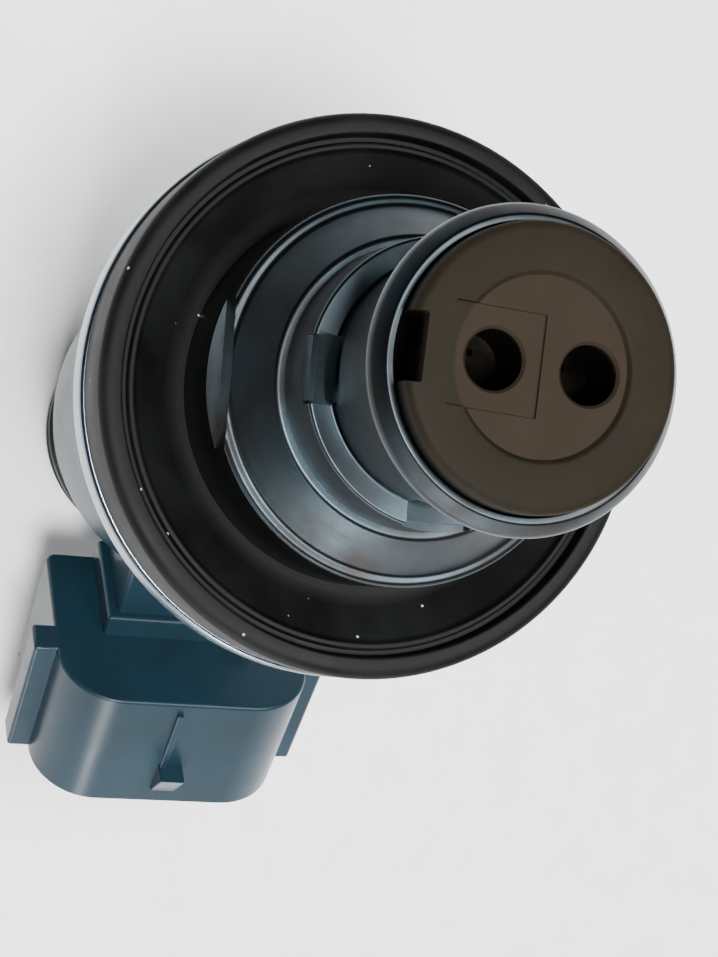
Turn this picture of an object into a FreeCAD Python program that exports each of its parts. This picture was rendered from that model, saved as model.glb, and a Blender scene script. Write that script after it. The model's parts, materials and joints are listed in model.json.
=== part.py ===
"""Top-feed fuel injector with a slanted two-way connector, as separate pieces in millimetres.

The injector stands on its inlet end: the axis is +Z, z = 0 is the inlet end face, the two-hole
nozzle cap is at the top and the electrical connector leans out towards +X.
"""
import FreeCAD, Part
import math
import os

# ---------------------------------------------------------------- driving dimensions (mm)
# Heights along the axis
ring_plane = 46.0              # inlet end face to the widest plane of the rubber insulator ring
nozzle_reach = 20.4            # ring plane to the face of the nozzle cap
lift = 0.10                    # needle stroke

# Running gaps between the moving needle and the fixed pieces
armature_gap = 0.08            # radial
guide_gap = 0.03               # radial
seat_gap = 0.03                # axial, at the seat and beyond full lift at the stop
core_gap = 0.05                # left between armature and core at full lift

# Inlet spigot and its seals
spigot_r = 5.2
inlet_lip_r = 6.4
inlet_lip_h = 1.8
filter_bore_r = 4.1
filter_recess = 5.0            # inlet face to the filter
filter_collar_h = 2.2
filter_collar_wall = 0.8
filter_frame_wall = 1.0
filter_length = 4.4
filter_disc_h = 0.5
filter_relief = 1.0            # bore above the filter
mesh_wall = 0.1
mesh_gap = 0.02                # between the frame's ribs and the mesh
rib_w = 0.6
inlet_oring_wire_r = 0.95
inlet_oring_room = 2.5         # axial room between lip and shoulder
shoulder_h = 1.4
spigot_end = 0.6               # wall above the filter bore, where the spigot becomes the core
grommet_r = 7.6
grommet_h = 3.0
grommet_round = 0.6
seal_slack = 0.05

# Core, coil and magnetic circuit
core_r = 4.0
core_bore_r = 2.2
tube_r_in = 1.1                # bore of the adjusting tube
tube_length = 8.0
spring_length = 12.0
spring_mean_r = 1.5
spring_wire_r = 0.25
spring_turns = 7
spring_pocket = 3.0            # spring depth in the armature
spring_pocket_step = 0.1       # pocket narrower than the core's bore
housing_r = 9.4
housing_bore_r = 8.3
housing_skirt_r = 9.0          # reduced stretch under the plastic jacket
housing_chamfer = 0.5
crimp_h = 0.8
crimp_bore_r = 7.8
yoke_h = 2.1
bobbin_inlet_flange = 1.6
bobbin_nozzle_flange = 1.2
bobbin_hub_r = 6.15
coil_r = 7.9
coil_length = 10.2
coil_seal_wire_r = 0.7
coil_clear = 0.2
barrier_r = 5.4                # non-magnetic ring
barrier_below_core = 2.5
barrier_above_core = 2.3

# Armature and needle
armature_r = 4.2
armature_length = 7.0
fuel_hole_r = 0.55
fuel_hole_at = 3.0
needle_r = 1.25
stop_collar_r = 2.6
stop_collar_h = 1.0
guide_r = 1.97
guide_h = 3.0
lower_guide_below_tip = 4.2
upper_guide_below_tip = 15.0
guide_flat = 1.55              # half width across the flats of each guide land
ball_r = 1.6
ball_neck_r = 1.0

# Nozzle holder (collar), stop, valve body and tip sleeve
holder_flange_h = 5.0
holder_neck_h = 1.0
collar_r = 9.07
collar_land = 0.57             # flat land between the collar's edge and the cone
collar_edge = 5.0              # above the ring plane
cone_top = 7.0                 # above the ring plane
cone_top_r = 6.87
flat_distance = 8.4
flat_ledge = 3.4               # above the ring plane
stop_h = 1.0
stop_bore_r = 1.6
stop_room = 0.4                # round the needle's collar inside the valve body
valve_head_r = 4.9
valve_head_h = 5.1
valve_r = 4.4
valve_bore_r = guide_r + guide_gap
sleeve_r = 6.5
sleeve_grip = 6.0              # length of the sleeve held inside the collar
shoulder_at = 10.2             # above the ring plane
groove_r = 5.45
rim_back = 2.25                # rim's back edge below the cap face
rim_front = 1.15               # rim's front edge below the cap face
rim_r = 6.75
rim_front_r = 6.2
rim_slope = 0.65
rim_edge = 0.1                 # chamfer at the rim's back edge
rim_wall_gap = 0.05
cap_flange_h = 1.8
cap_r = 5.85
cap_round = 0.35
cap_plug_h = 1.3
dish_r = 3.8
dish_depth = 0.2
spray_hole_r = 1.22
spray_hole_at = 2.03
spray_line_angle = 3.0         # turn of the two-hole line from the Y axis
pad_w = 3.95
pad_h = 4.15
pad_depth = 0.12
notch_w = 2.8
notch_depth = 0.8
plate_h = 0.3
orifice_r = 0.16
orifice_spread = 0.5
seat_half_angle = 45.0
throat_r = 0.55                # below the seat
throat_h = 0.9
outlet_r = 2.6                 # shallow chamber that feeds the metering holes
outlet_depth = 0.25
pocket_w = 3.0
pocket_floor_r = 5.1
pocket_edge_r = 6.1            # floor of the notch in the shoulder's edge
pocket_low = 0.8               # notch below the sleeve shoulder
pocket_high = 1.2              # above the sleeve shoulder

# Rubber insulator ring and its backing ring
ring_r = 13.5
ring_front = 1.35              # front face above the ring plane
ring_back = 2.4                # back face below the ring plane
ring_round = 0.6
ring_land_r = 12.45            # inner edge of the front sealing land
ring_groove_depth = 0.7
ring_groove_slope = 0.1        # lean of the groove's and the rib's sides
ring_rib_r = 12.05
ring_rib_in_r = 11.8
ring_rib_drop = 0.45           # rib crest below the sealing land
ring_dish_depth = 1.9
ring_dish_step = 0.7
backing_h = 2.3
backing_r = 13.62
backing_round = 0.9

# Plastic jacket and connector
jacket_r = 9.8
jacket_cover = 7.2             # stretch of the housing that the jacket covers
jacket_foot = 0.5              # plastic below the housing's end
jacket_cone_back = 1.0         # cone under the foot, on the inlet side of it
jacket_cone_front = 0.6        # and on the nozzle side
jacket_neck_r = 7.5
connector_angle = 45.0         # below the horizontal, towards the inlet
mouth_x = 20.5                 # centre of the mouth at the wing faces
mouth_drop = 9.03              # the same point below the housing's inlet end
shell_length = 9.0
shell_half_w = 7.8
shell_top = 3.9                # nozzle side, from the wing faces
shell_bottom = 8.1             # inlet side, from the wing faces
shell_top_round = 3.85
shell_bottom_round = 0.6
shell_wall = 1.3
socket_depth = 8.0
socket_round = 2.6
wing_out = 1.35
wing_h = 2.0
stem_half_w = 4.25
stem_top = -1.9
stem_step = 1.5
stem_step_out = 0.6            # the step stands proud of the stem at each side
stem_step_up = 0.5             # and on the nozzle side
lug_w = 1.5
lug_h = 1.4                    # catch face of the ramped lock lug
lug_low = 0.2                  # the lug's low end, at the mouth side
lug_start = 3.5
lug_end = 1.2
guide_rib_w = 0.4
guide_rib_h = 0.3
guide_rib_at = -0.5
guide_rib_start = 0.8          # from the shell's back end
terminal_pitch = 5.2
terminal_t = 0.64              # across the socket
terminal_w = 1.8               # from the inlet side to the nozzle side
terminal_recess = 2.2
tab_cover = 0.4                # plastic over the terminals' tabs
lead_r = 0.3
lead_room = 0.9                # from a lead's middle to the side of the yoke's slot

# ---------------------------------------------------------------- heights worked out from these
cap_face = ring_plane + nozzle_reach
rim_back_z = cap_face - rim_back
rim_front_z = cap_face - rim_front
cap_seat_z = cap_face - cap_flange_h
plate_top_z = cap_seat_z - cap_plug_h
valve_top_z = plate_top_z - plate_h
shoulder_z = ring_plane + shoulder_at
cone_top_z = ring_plane + cone_top
collar_edge_z = ring_plane + collar_edge
ledge_z = ring_plane + flat_ledge
sleeve_base_z = cone_top_z - sleeve_grip
ring_front_z = ring_plane + ring_front
ring_back_z = ring_plane - ring_back
backing_back_z = ring_back_z - backing_h
holder_neck_z = backing_back_z - holder_neck_h
holder_base_z = holder_neck_z - holder_flange_h
housing_top_z = holder_neck_z + crimp_h
valve_head_z = sleeve_base_z - valve_head_h
stop_z = valve_head_z - stop_h
core_end_z = holder_base_z - barrier_above_core
armature_z = core_end_z + lift + core_gap
armature_top_z = armature_z + armature_length
spring_top_z = armature_z + spring_pocket
spring_base_z = spring_top_z - spring_length
tube_base_z = spring_base_z - tube_length
stop_collar_z = valve_head_z + lift + seat_gap
coil_seal_z = holder_base_z - coil_clear - coil_seal_wire_r
bobbin_top_z = coil_seal_z - coil_seal_wire_r - coil_clear
coil_top_z = bobbin_top_z - bobbin_nozzle_flange
coil_base_z = coil_top_z - coil_length
bobbin_base_z = coil_base_z - bobbin_inlet_flange
yoke_base_z = bobbin_base_z - yoke_h
housing_base_z = yoke_base_z - coil_clear
mouth_z = housing_base_z - mouth_drop
barrier_base_z = core_end_z - barrier_below_core
jacket_top_z = housing_base_z + jacket_cover
jacket_step_z = housing_base_z - jacket_foot
oring_z = inlet_lip_h + inlet_oring_room / 2
inlet_shoulder_z = inlet_lip_h + inlet_oring_room
grommet_z = inlet_shoulder_z + shoulder_h
jacket_base_z = grommet_z + grommet_h + seal_slack
filter_top_z = filter_recess + filter_collar_h + filter_length
filter_bore_top_z = filter_top_z + filter_disc_h + filter_relief
core_step_z = filter_bore_top_z + spigot_end
tip_z = valve_top_z - throat_h                 # where the seat's cone meets its throat
ball_z = tip_z - ball_r * math.sqrt(2.0) + throat_r - seat_gap * math.sqrt(2.0)
bore_r_moving = armature_r + armature_gap
lead_x = (bobbin_hub_r + coil_r) / 2
cut_extra = 1.0                # a cutter reaches this far past the face it opens
join = 0.5                     # overlap of shapes that are fused

AXIS = FreeCAD.Vector(0, 0, 1)


# ---------------------------------------------------------------- helpers
def rod(radius, z0, z1, x=0.0, y=0.0):
    return Part.makeCylinder(radius, z1 - z0, FreeCAD.Vector(x, y, z0), AXIS)


def tube(r_out, r_in, z0, z1):
    return rod(r_out, z0, z1).cut(rod(r_in, z0 - cut_extra, z1 + cut_extra))


def lathe(*profile):
    """Solid of revolution from (radius, height) corners."""
    points = [FreeCAD.Vector(r, 0, z) for r, z in profile]
    wire = Part.makePolygon(points + points[:1])
    return Part.Face(wire).revolve(FreeCAD.Vector(0, 0, 0), AXIS, 360)


def oring(mean_r, wire_r, z):
    return Part.makeTorus(mean_r, wire_r, FreeCAD.Vector(0, 0, z), AXIS)


def block(x0, x1, y0, y1, z0, z1):
    return Part.makeBox(x1 - x0, y1 - y0, z1 - z0, FreeCAD.Vector(x0, y0, z0))


def turned(shape, degrees):
    copy = shape.copy()
    copy.rotate(FreeCAD.Vector(0, 0, 0), AXIS, degrees)
    return copy


def round_circles(shape, radius, circles):
    """Fillet the full circular edges at the given (radius, height) places."""
    chosen = []
    for edge in shape.Edges:
        if not isinstance(edge.Curve, Part.Circle) or not edge.isClosed():
            continue
        centre = edge.Curve.Center
        for r, z in circles:
            if abs(edge.Curve.Radius - r) < 1e-4 and abs(centre.z - z) < 1e-4:
                chosen.append(edge)
    return shape.makeFillet(radius, chosen)


def connector_placement():
    """Local x is the width (+Y), y points to the nozzle side, z points out of the mouth."""
    angle = math.radians(connector_angle)
    out = FreeCAD.Vector(math.cos(angle), 0, -math.sin(angle))
    up = FreeCAD.Vector(math.sin(angle), 0, math.cos(angle))
    turn = FreeCAD.Rotation(FreeCAD.Vector(0, 1, 0), up, out, "ZXY")
    return FreeCAD.Placement(FreeCAD.Vector(mouth_x, 0, mouth_z), turn)


def in_connector(shape):
    moved = shape.copy()
    moved.Placement = connector_placement().multiply(moved.Placement)
    return moved


def round_long_edges(shape, y_level, radius):
    """Fillet the edges that run along the connector at one side level."""
    chosen = []
    for edge in shape.Edges:
        ends = [v.Point for v in edge.Vertexes]
        along = len(ends) == 2 and abs(ends[0].x - ends[1].x) + abs(ends[0].y - ends[1].y) < 1e-6
        if along and abs(ends[0].y - y_level) < 1e-6:
            chosen.append(edge)
    return shape.makeFillet(radius, chosen)


# ---------------------------------------------------------------- inlet end
def fixed_core():
    body = lathe(
        (filter_bore_r, 0), (inlet_lip_r, 0), (inlet_lip_r, inlet_lip_h),
        (spigot_r, inlet_lip_h), (spigot_r, inlet_shoulder_z), (inlet_lip_r, inlet_shoulder_z),
        (inlet_lip_r, grommet_z), (spigot_r, grommet_z), (spigot_r, core_step_z),
        (core_r, core_step_z), (core_r, core_end_z), (core_bore_r, core_end_z),
        (core_bore_r, filter_bore_top_z), (filter_bore_r, filter_bore_top_z))
    return body


def inlet_o_ring():
    return oring(spigot_r + inlet_oring_wire_r, inlet_oring_wire_r, oring_z)


def inlet_grommet():
    ring = tube(grommet_r, spigot_r, grommet_z, grommet_z + grommet_h)
    ends = [(grommet_r, grommet_z), (grommet_r, grommet_z + grommet_h)]
    return round_circles(ring, grommet_round, ends)


def filter_collar():
    top = filter_recess + filter_collar_h
    return tube(filter_bore_r, filter_bore_r - filter_collar_wall, filter_recess, top)


def filter_frame():
    ring_out = filter_bore_r - filter_collar_wall
    ring_in = ring_out - filter_frame_wall
    collar_top = filter_recess + filter_collar_h
    mesh_in = ring_in + filter_frame_wall / 2
    frame = tube(ring_out, ring_in, filter_recess, collar_top)
    frame = frame.fuse(rod(mesh_in, filter_top_z, filter_top_z + filter_disc_h))
    rib = block(ring_in, mesh_in - mesh_gap, -rib_w / 2, rib_w / 2, collar_top, filter_top_z)
    for k in range(4):
        frame = frame.fuse(turned(rib, 90 * k))
    return frame.removeSplitter()


def filter_mesh():
    mesh_in = filter_bore_r - filter_collar_wall - filter_frame_wall / 2
    base = filter_recess + filter_collar_h
    return tube(mesh_in + mesh_wall, mesh_in, base, filter_top_z + filter_disc_h)


def adjusting_tube():
    return tube(core_bore_r, tube_r_in, tube_base_z, spring_base_z)


def return_spring():
    height = spring_length - 2 * spring_wire_r
    pitch = height / spring_turns
    helix = Part.makeHelix(pitch, height, spring_mean_r)
    start = FreeCAD.Vector(spring_mean_r, 0, 0)
    lead = FreeCAD.Vector(0, 2 * math.pi * spring_mean_r, pitch)
    profile = Part.Wire([Part.makeCircle(spring_wire_r, start, lead)])
    coil = Part.Wire(helix).makePipeShell([profile], True, True)
    coil.translate(FreeCAD.Vector(0, 0, spring_base_z + spring_wire_r))
    return coil


# ---------------------------------------------------------------- coil and magnetic circuit
def coil_bobbin():
    hub = tube(bobbin_hub_r, core_r, bobbin_base_z, bobbin_top_z)
    flange_r = housing_bore_r - coil_clear
    low = tube(flange_r, core_r, bobbin_base_z, coil_base_z)
    high = tube(flange_r, core_r, coil_top_z, bobbin_top_z)
    body = hub.fuse(low).fuse(high)
    seal_room = rod(core_r + 2 * coil_seal_wire_r, bobbin_base_z - cut_extra,
                    bobbin_base_z + 2 * coil_seal_wire_r)
    barrier_room = rod(barrier_r, barrier_base_z, bobbin_top_z + cut_extra)
    lead_room = lead_rods(lead_r)
    return body.cut(seal_room).cut(barrier_room).cut(lead_room).removeSplitter()


def coil_winding():
    return tube(coil_r, bobbin_hub_r, coil_base_z, coil_top_z)


def lead_rods(radius):
    leads = [rod(radius, terminal_tab_z() + terminal_t, coil_base_z, lead_x, side * terminal_pitch / 2)
             for side in (-1, 1)]
    return Part.makeCompound(leads)


def coil_leads():
    return lead_rods(lead_r)


def yoke_plate():
    plate = tube(housing_bore_r, core_r, yoke_base_z, bobbin_base_z)
    reach = terminal_pitch / 2 + lead_room
    slot = block(lead_x - lead_room, housing_r, -reach, reach,
                 yoke_base_z - cut_extra, bobbin_base_z + cut_extra)
    return plate.cut(slot)


def coil_seal_inlet():
    return oring(core_r + coil_seal_wire_r, coil_seal_wire_r, bobbin_base_z + coil_seal_wire_r)


def coil_seal_nozzle():
    return oring(barrier_r + coil_seal_wire_r, coil_seal_wire_r, coil_seal_z)


def barrier_ring():
    return lathe((core_r, barrier_base_z), (barrier_r, barrier_base_z), (barrier_r, holder_base_z),
                 (bore_r_moving, holder_base_z), (bore_r_moving, core_end_z), (core_r, core_end_z))


def housing():
    body = lathe(
        (housing_bore_r, housing_base_z), (housing_skirt_r, housing_base_z),
        (housing_skirt_r, jacket_top_z), (housing_r, jacket_top_z),
        (housing_r, housing_top_z - housing_chamfer),
        (housing_r - housing_chamfer, housing_top_z),
        (crimp_bore_r, housing_top_z), (crimp_bore_r, holder_neck_z),
        (housing_bore_r, holder_neck_z))
    return body


# ---------------------------------------------------------------- moving needle
def armature():
    body = rod(armature_r, armature_z, armature_top_z)
    body = body.cut(rod(core_bore_r - spring_pocket_step, armature_z - cut_extra, spring_top_z))
    body = body.cut(rod(needle_r, armature_z, armature_top_z + cut_extra))
    hole = rod(fuel_hole_r, armature_z - cut_extra, armature_top_z + cut_extra, fuel_hole_at)
    for k in range(4):
        body = body.cut(turned(hole, 45 + 90 * k))
    return body


def guide_land(top_z):
    """Round guide land with four flats that let the fuel pass."""
    land = rod(guide_r, top_z - guide_h, top_z)
    square = block(-guide_flat, guide_flat, -guide_flat, guide_flat, top_z - guide_h, top_z)
    return land.common(square)


def needle():
    body = rod(needle_r, spring_top_z, ball_z - ball_r)
    collar = rod(stop_collar_r, stop_collar_z, stop_collar_z + stop_collar_h)
    stalk = rod(ball_neck_r, ball_z - ball_r, ball_z)
    body = body.fuse(collar).fuse(stalk)
    for below in (lower_guide_below_tip, upper_guide_below_tip):
        body = body.fuse(guide_land(tip_z - below))
    return body.cut(Part.makeSphere(ball_r, FreeCAD.Vector(0, 0, ball_z))).removeSplitter()


def needle_ball():
    return Part.makeSphere(ball_r, FreeCAD.Vector(0, 0, ball_z))


# ---------------------------------------------------------------- nozzle end
def nozzle_holder():
    body = lathe(
        (bore_r_moving, holder_base_z), (housing_bore_r, holder_base_z),
        (housing_bore_r, holder_neck_z), (crimp_bore_r, holder_neck_z),
        (crimp_bore_r, backing_back_z), (collar_r, backing_back_z),
        (collar_r, collar_edge_z), (collar_r - collar_land, collar_edge_z),
        (cone_top_r, cone_top_z), (sleeve_r, cone_top_z), (sleeve_r, sleeve_base_z),
        (valve_head_r, sleeve_base_z), (valve_head_r, stop_z), (bore_r_moving, stop_z))
    for side in (0, 180):
        flat = block(-collar_r, collar_r, flat_distance, collar_r + cut_extra,
                     ledge_z, cone_top_z + cut_extra)
        body = body.cut(turned(flat, side))
    return body


def stroke_stop():
    ring = tube(valve_head_r, stop_bore_r, stop_z, valve_head_z)
    slot = block(0, valve_head_r + cut_extra, -stop_bore_r, stop_bore_r,
                 stop_z - cut_extra, valve_head_z + cut_extra)
    return ring.cut(slot)


def valve_body():
    collar_room_z = stop_collar_z + stop_collar_h + stop_room
    collar_room_r = stop_collar_r + stop_room
    seat_base_z = tip_z - (valve_bore_r - throat_r) / math.tan(math.radians(seat_half_angle))
    return lathe(
        (collar_room_r, valve_head_z), (valve_head_r, valve_head_z), (valve_head_r, sleeve_base_z),
        (valve_r, sleeve_base_z), (valve_r, valve_top_z), (outlet_r, valve_top_z),
        (outlet_r, valve_top_z - outlet_depth), (throat_r, valve_top_z - outlet_depth),
        (throat_r, tip_z), (valve_bore_r, seat_base_z), (valve_bore_r, collar_room_z),
        (collar_room_r, collar_room_z))


def tip_sleeve():
    body = lathe(
        (valve_r, sleeve_base_z), (sleeve_r, sleeve_base_z), (sleeve_r, shoulder_z),
        (groove_r, shoulder_z), (groove_r, rim_back_z), (rim_r - rim_edge, rim_back_z),
        (rim_r, rim_back_z + rim_edge), (rim_r, rim_front_z - rim_slope), (rim_front_r, rim_front_z),
        (cap_r + rim_wall_gap, rim_front_z), (cap_r + rim_wall_gap, cap_seat_z),
        (valve_r, cap_seat_z))
    pocket = block(pocket_floor_r, sleeve_r + cut_extra, -pocket_w / 2, pocket_w / 2,
                   shoulder_z, shoulder_z + pocket_high)
    notch = block(pocket_edge_r, sleeve_r + cut_extra, -pocket_w / 2, pocket_w / 2,
                  shoulder_z - pocket_low, shoulder_z)
    pocket = pocket.fuse(notch)
    for k in range(4):
        body = body.cut(turned(pocket, 90 * k))
    return body


def orifice_plate():
    plate = rod(valve_r, valve_top_z, plate_top_z)
    for side in (-1, 1):
        for step in (-1, 1):
            y = side * spray_hole_at
            hole = rod(orifice_r, valve_top_z - cut_extra, plate_top_z + cut_extra,
                       step * orifice_spread, y)
            plate = plate.cut(turned(hole, -spray_line_angle))
    return plate


def two_hole_cap():
    flange = round_circles(rod(cap_r, cap_seat_z, cap_face), cap_round, [(cap_r, cap_face)])
    body = flange.fuse(rod(valve_r, plate_top_z, cap_seat_z))
    body = body.cut(rod(dish_r, cap_face - dish_depth, cap_face + cut_extra))
    features = [rod(spray_hole_r, plate_top_z - cut_extra, cap_face + cut_extra,
                    0, side * spray_hole_at) for side in (-1, 1)]
    features.append(block(-pad_h / 2, pad_h / 2, -spray_hole_at - pad_w / 2,
                          -spray_hole_at + pad_w / 2,
                          cap_face - dish_depth - pad_depth, cap_face + cut_extra))
    features.append(block(-notch_w / 2, notch_w / 2, -cap_r - cut_extra, -cap_r + notch_depth,
                          cap_seat_z - cut_extra, cap_face + cut_extra))
    for feature in features:
        body = body.cut(turned(feature, -spray_line_angle))
    return body.removeSplitter()


def insulator_ring():
    groove_z = ring_front_z - ring_groove_depth
    dish_z = ring_front_z - ring_dish_depth
    rib_z = ring_front_z - ring_rib_drop
    body = lathe(
        (collar_r, ring_back_z), (ring_r, ring_back_z), (ring_r, ring_front_z),
        (ring_land_r, ring_front_z), (ring_land_r - ring_groove_slope, groove_z),
        (ring_rib_r + ring_groove_slope, groove_z), (ring_rib_r, rib_z), (ring_rib_in_r, rib_z),
        (ring_rib_in_r - ring_groove_slope, groove_z), (collar_r + ring_dish_step, dish_z),
        (collar_r, dish_z))
    return round_circles(body, ring_round, [(ring_r, ring_front_z)])


def insulator_backing():
    ring = tube(backing_r, collar_r, backing_back_z, ring_back_z)
    return round_circles(ring, backing_round, [(backing_r, backing_back_z)])


# ---------------------------------------------------------------- connector
def terminal_tab_z():
    return housing_base_z - jacket_foot - terminal_t - tab_cover


def terminal(side):
    """Blade in the socket with a level tab that meets its coil lead."""
    y0 = side * terminal_pitch / 2 - terminal_t / 2
    y1 = y0 + terminal_t
    tab_z = terminal_tab_z()
    mid = (shell_top - shell_bottom) / 2
    angle = math.radians(connector_angle)
    # depth from the mouth at which the blade's middle plane reaches the level of the tab
    depth = (tab_z + terminal_t / 2 - mouth_z - mid * math.cos(angle)) / math.sin(angle)
    blade = block(y0, y1, mid - terminal_w / 2, mid + terminal_w / 2, -socket_depth,
                  -terminal_recess)
    shank = block(y0, y1, mid - terminal_w / 2, mid, -depth, -socket_depth)
    blade = blade.fuse(shank)
    bend_x = mouth_x + mid * math.sin(angle) - depth * math.cos(angle)
    tab = block(lead_x - 2 * lead_r, bend_x + terminal_t / 3, y0, y1, tab_z, tab_z + terminal_t)
    return in_connector(blade).fuse(tab).removeSplitter()


def terminal_left():
    return terminal(-1)


def terminal_right():
    return terminal(1)


def connector_shell():
    outer = block(-shell_half_w, shell_half_w, -shell_bottom, shell_top, -shell_length, 0)
    outer = round_long_edges(outer, shell_top, shell_top_round)
    outer = round_long_edges(outer, -shell_bottom, shell_bottom_round)
    wings = block(-shell_half_w - wing_out, shell_half_w + wing_out, -wing_h, 0, -shell_length, 0)
    shell = outer.fuse(wings)
    side = [(shell_top - join, -lug_start), (shell_top + lug_h, -lug_start),
            (shell_top + lug_low, -lug_end), (shell_top - join, -lug_end)]
    corners = [FreeCAD.Vector(-lug_w / 2, y, z) for y, z in side]
    lug = Part.Face(Part.makePolygon(corners + corners[:1])).extrude(FreeCAD.Vector(lug_w, 0, 0))
    rib = block(guide_rib_at - guide_rib_w / 2, guide_rib_at + guide_rib_w / 2,
                shell_top - join, shell_top + guide_rib_h,
                -shell_length + guide_rib_start, -lug_start + join)
    return shell.fuse(lug).fuse(rib)


def connector_socket():
    inside = block(-shell_half_w + shell_wall, shell_half_w - shell_wall,
                   -shell_bottom + shell_wall, shell_top - shell_wall, -socket_depth, cut_extra)
    inside = round_long_edges(inside, shell_top - shell_wall, socket_round)
    return round_long_edges(inside, -shell_bottom + shell_wall, shell_bottom_round / 2)


def connector_stem():
    back = math.hypot(mouth_x, housing_base_z - mouth_z)
    stem = block(-stem_half_w, stem_half_w, -shell_bottom, stem_top, -back, -shell_length + join)
    step_half_w = stem_half_w + stem_step_out
    step = block(-step_half_w, step_half_w, -shell_bottom, stem_top + stem_step_up,
                 -shell_length - stem_step, -shell_length + join)
    return stem.fuse(step)


def overmold():
    jacket = lathe((spigot_r, jacket_base_z), (jacket_neck_r, jacket_base_z),
                   (jacket_neck_r, jacket_step_z - jacket_cone_back),
                   (jacket_r, jacket_step_z + jacket_cone_front),
                   (jacket_r, jacket_top_z), (spigot_r, jacket_top_z))
    plastic = in_connector(connector_shell().fuse(connector_stem()))
    keep = block(0, mouth_x * 2, -2 * shell_half_w, 2 * shell_half_w, 0, jacket_top_z)
    plastic = plastic.common(keep).fuse(jacket)
    plastic = plastic.cut(in_connector(connector_socket()))
    core_room = rod(spigot_r, 0, core_step_z).fuse(rod(core_r, 0, jacket_top_z + cut_extra))
    housing_room = rod(housing_skirt_r, housing_base_z, jacket_top_z + cut_extra)
    for room in (core_room, housing_room, terminal(-1), terminal(1), lead_rods(lead_r)):
        plastic = plastic.cut(room)
    return plastic.removeSplitter()


# ---------------------------------------------------------------- build
PIECES = (
    fixed_core, inlet_o_ring, inlet_grommet, filter_collar, filter_frame, filter_mesh,
    adjusting_tube, return_spring, coil_bobbin, coil_winding, coil_leads, yoke_plate,
    coil_seal_inlet, coil_seal_nozzle, barrier_ring, housing, armature, needle, needle_ball,
    nozzle_holder, stroke_stop, valve_body, tip_sleeve, orifice_plate, two_hole_cap,
    insulator_ring, insulator_backing, overmold, terminal_left, terminal_right)


def main():
    os.makedirs("parts", exist_ok=True)
    for piece in PIECES:
        shape = piece()
        shape.exportStep("parts/" + piece.__name__ + ".step")
        box = shape.BoundBox
        print("%-18s solids %d valid %s vol %.1f z %.2f..%.2f r %.2f" % (
            piece.__name__, len(shape.Solids), shape.isValid(), shape.Volume,
            box.ZMin, box.ZMax, max(box.XMax, box.YMax)))


if __name__ == "__main__":
    main()
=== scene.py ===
"""Fuel injector: the finished surfaces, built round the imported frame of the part."""

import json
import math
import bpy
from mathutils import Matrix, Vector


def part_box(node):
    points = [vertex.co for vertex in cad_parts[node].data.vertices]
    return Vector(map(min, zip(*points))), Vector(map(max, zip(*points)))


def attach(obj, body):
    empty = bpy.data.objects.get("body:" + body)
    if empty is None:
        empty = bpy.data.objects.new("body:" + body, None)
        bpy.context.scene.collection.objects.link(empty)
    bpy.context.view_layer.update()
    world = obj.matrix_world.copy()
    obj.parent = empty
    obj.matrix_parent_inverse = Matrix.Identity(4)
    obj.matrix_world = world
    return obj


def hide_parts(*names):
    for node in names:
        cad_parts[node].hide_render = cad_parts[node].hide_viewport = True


bl_info = {
    "name": "Fuel Injector Builder",
    "version": (1, 0, 0),
    "blender": (4, 5, 0),
    "location": "3D View > Sidebar > Injector",
    "description": "Builds a top-feed fuel injector round its frame",
    "category": "Add Mesh",
}

import bmesh
import bpy
from mathutils import Matrix, Vector

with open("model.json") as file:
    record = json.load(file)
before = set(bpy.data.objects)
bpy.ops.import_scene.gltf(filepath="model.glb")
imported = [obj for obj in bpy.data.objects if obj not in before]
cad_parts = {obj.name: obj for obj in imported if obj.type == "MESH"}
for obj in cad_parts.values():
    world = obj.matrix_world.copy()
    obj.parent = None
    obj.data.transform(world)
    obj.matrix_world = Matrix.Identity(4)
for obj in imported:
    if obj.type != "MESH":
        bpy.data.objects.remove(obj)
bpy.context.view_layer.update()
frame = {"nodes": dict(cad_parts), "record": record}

MM = 0.001
STEPS = 160                  # facets round a turned surface
AXIS = Vector((0.0, 0.0, 1.0))
BODY = "injector_body"


# ------------------------------------------------------------------ properties
def size(name, description, millimetres):
    return bpy.props.FloatProperty(name=name, description=description, default=millimetres * MM,
                                   min=0.0, precision=5, unit="LENGTH", subtype="DISTANCE")


def angle(name, description, degrees):
    return bpy.props.FloatProperty(name=name, description=description,
                                   default=math.radians(degrees), unit="ROTATION", subtype="ANGLE")


def linear(hex_colour):
    """Linear red, green and blue of an sRGB hex colour."""
    parts = [int(hex_colour[i:i + 2], 16) / 255 for i in (1, 3, 5)]
    return tuple(c / 12.92 if c <= 0.04045 else ((c + 0.055) / 1.055) ** 2.4 for c in parts)


def colour(name, description, hex_colour):
    return bpy.props.FloatVectorProperty(name=name, description=description, size=3, min=0.0,
                                         max=1.0, default=linear(hex_colour), subtype="COLOR")


class InjectorCapSizes(bpy.types.PropertyGroup):
    edge_round: size("Edge round", "Round of the cap's outer edge", 0.42)
    dish_r: size("Dish radius", "Radius of the shallow dish in the face", 3.8)
    dish_depth: size("Dish depth", "Depth of the dish below the rim", 0.2)
    hole_r: size("Hole radius", "Radius of each spray hole", 1.22)
    hole_at: size("Hole offset", "Distance of each spray hole from the axis", 2.03)
    hole_flare: size("Hole flare", "Chamfer at the mouth of each spray hole", 0.12)
    line_turn: angle("Hole line turn", "Turn of the two-hole line about the axis", -3.0)
    pad_w: size("Pad width", "Width of the square sink round one hole", 3.95)
    pad_h: size("Pad height", "Height of the square sink round one hole", 4.15)
    pad_depth: size("Pad depth", "Depth of the square sink below the dish", 0.12)
    notch_w: size("Notch width", "Width of the notch in the cap's edge", 2.8)
    notch_depth: size("Notch depth", "Depth of the notch in the cap's edge", 0.8)


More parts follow.
